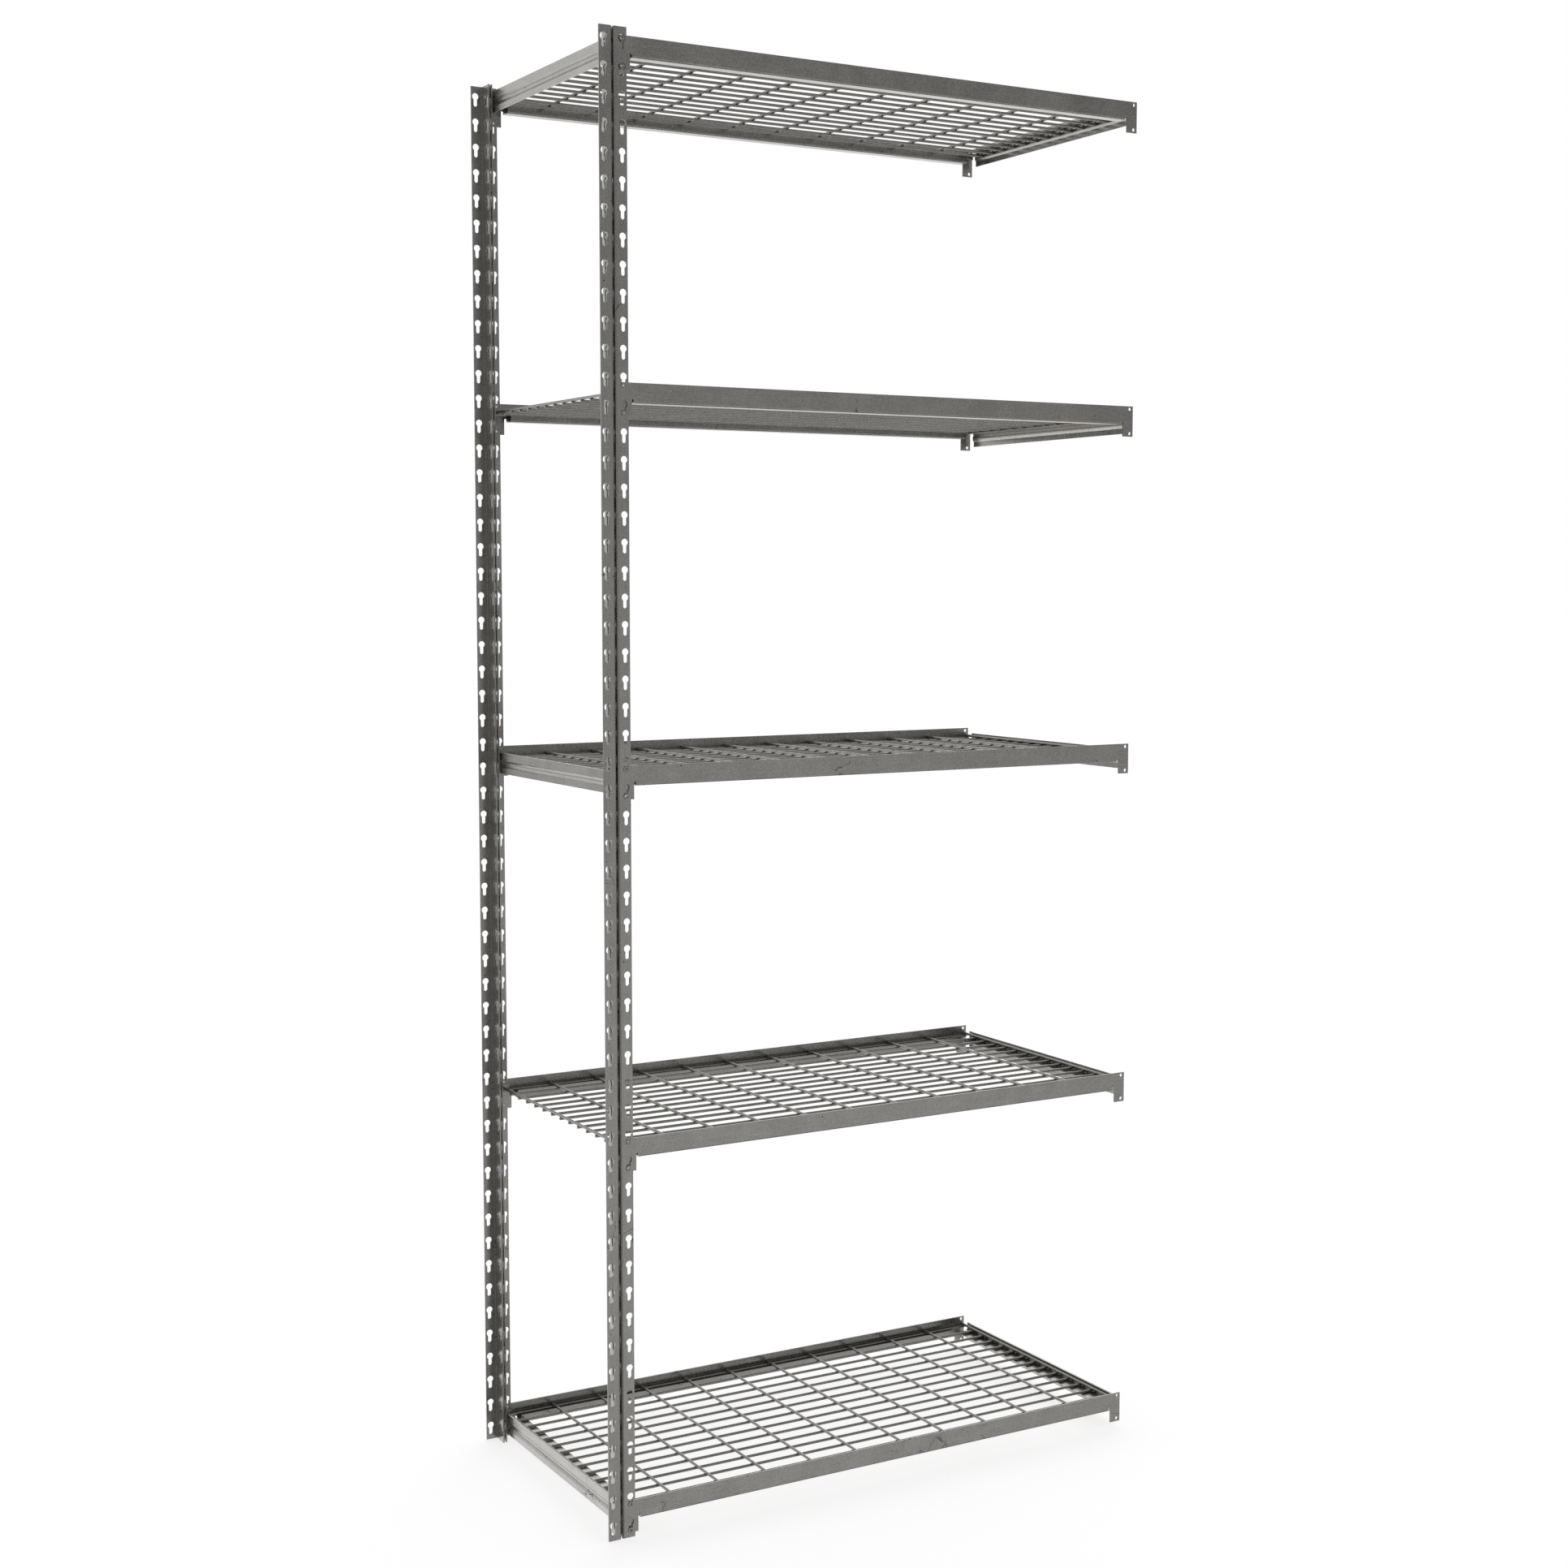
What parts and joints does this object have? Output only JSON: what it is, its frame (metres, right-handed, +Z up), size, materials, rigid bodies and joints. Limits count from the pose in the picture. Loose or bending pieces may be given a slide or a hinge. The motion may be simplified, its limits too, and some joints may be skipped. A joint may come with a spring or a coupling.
{
  "type": "boltless steel shelving",
  "caption": "Open boltless steel shelving bay: T-posts with keyhole columns at one end carry channel beams with lift-out wire decks; the free end hooks on to a neighbouring bay.",
  "frame": {"origin": "on the floor, under the middle of the overall width and depth", "axes": "+Z up, front towards -Y, posts at the -X end, free beam ends at +X"},
  "size_m": [0.9296, 0.4592, 2.1336],
  "materials": {
    "post_steel": "satin grey, finely speckled",
    "beam_steel": "satin grey, finely speckled, with small dark marks",
    "end_beam_steel": "satin grey, roll-formed",
    "wire_steel": "satin grey drawn wire, welded",
    "rivet_steel": "satin grey, slightly worn"
  },
  "bodies": {
    "frame": {"front_post_left_angle": "post_steel", "front_post_right_angle": "post_steel", "front_post_spacers": "post_steel", "back_post_left_angle": "post_steel", "back_post_right_angle": "post_steel", "back_post_spacers": "post_steel", "front_beam_1": "beam_steel", "front_beam_2": "beam_steel", "front_beam_3": "beam_steel", "front_beam_4": "beam_steel", "front_beam_5": "beam_steel", "back_beam_1": "beam_steel", "back_beam_2": "beam_steel", "back_beam_3": "beam_steel", "back_beam_4": "beam_steel", "back_beam_5": "beam_steel", "left_end_beam_1": "end_beam_steel", "left_end_beam_3": "end_beam_steel", "left_end_beam_5": "end_beam_steel", "right_end_beam_1": "end_beam_steel", "right_end_beam_2": "end_beam_steel", "right_end_beam_3": "end_beam_steel", "right_end_beam_4": "end_beam_steel", "right_end_beam_5": "end_beam_steel", "front_beam_rivets": "rivet_steel", "back_beam_rivets": "rivet_steel", "left_end_beam_rivets": "rivet_steel", "wire_deck_1": "wire_steel"},
    "deck_2": {"wire_deck_2": "wire_steel"},
    "deck_3": {"wire_deck_3": "wire_steel"},
    "deck_4": {"wire_deck_4": "wire_steel"},
    "deck_5": {"wire_deck_5": "wire_steel"}
  },
  "joints": [
    {"name": "deck_2_lift", "type": "slide", "parent": "frame", "child": "deck_2", "axis": [0, 0, 1], "range_m": [0, 0.06]},
    {"name": "deck_3_lift", "type": "slide", "parent": "frame", "child": "deck_3", "axis": [0, 0, 1], "range_m": [0, 0.06]},
    {"name": "deck_4_lift", "type": "slide", "parent": "frame", "child": "deck_4", "axis": [0, 0, 1], "range_m": [0, 0.06]},
    {"name": "deck_5_lift", "type": "slide", "parent": "frame", "child": "deck_5", "axis": [0, 0, 1], "range_m": [0, 0.06]}
  ]
}
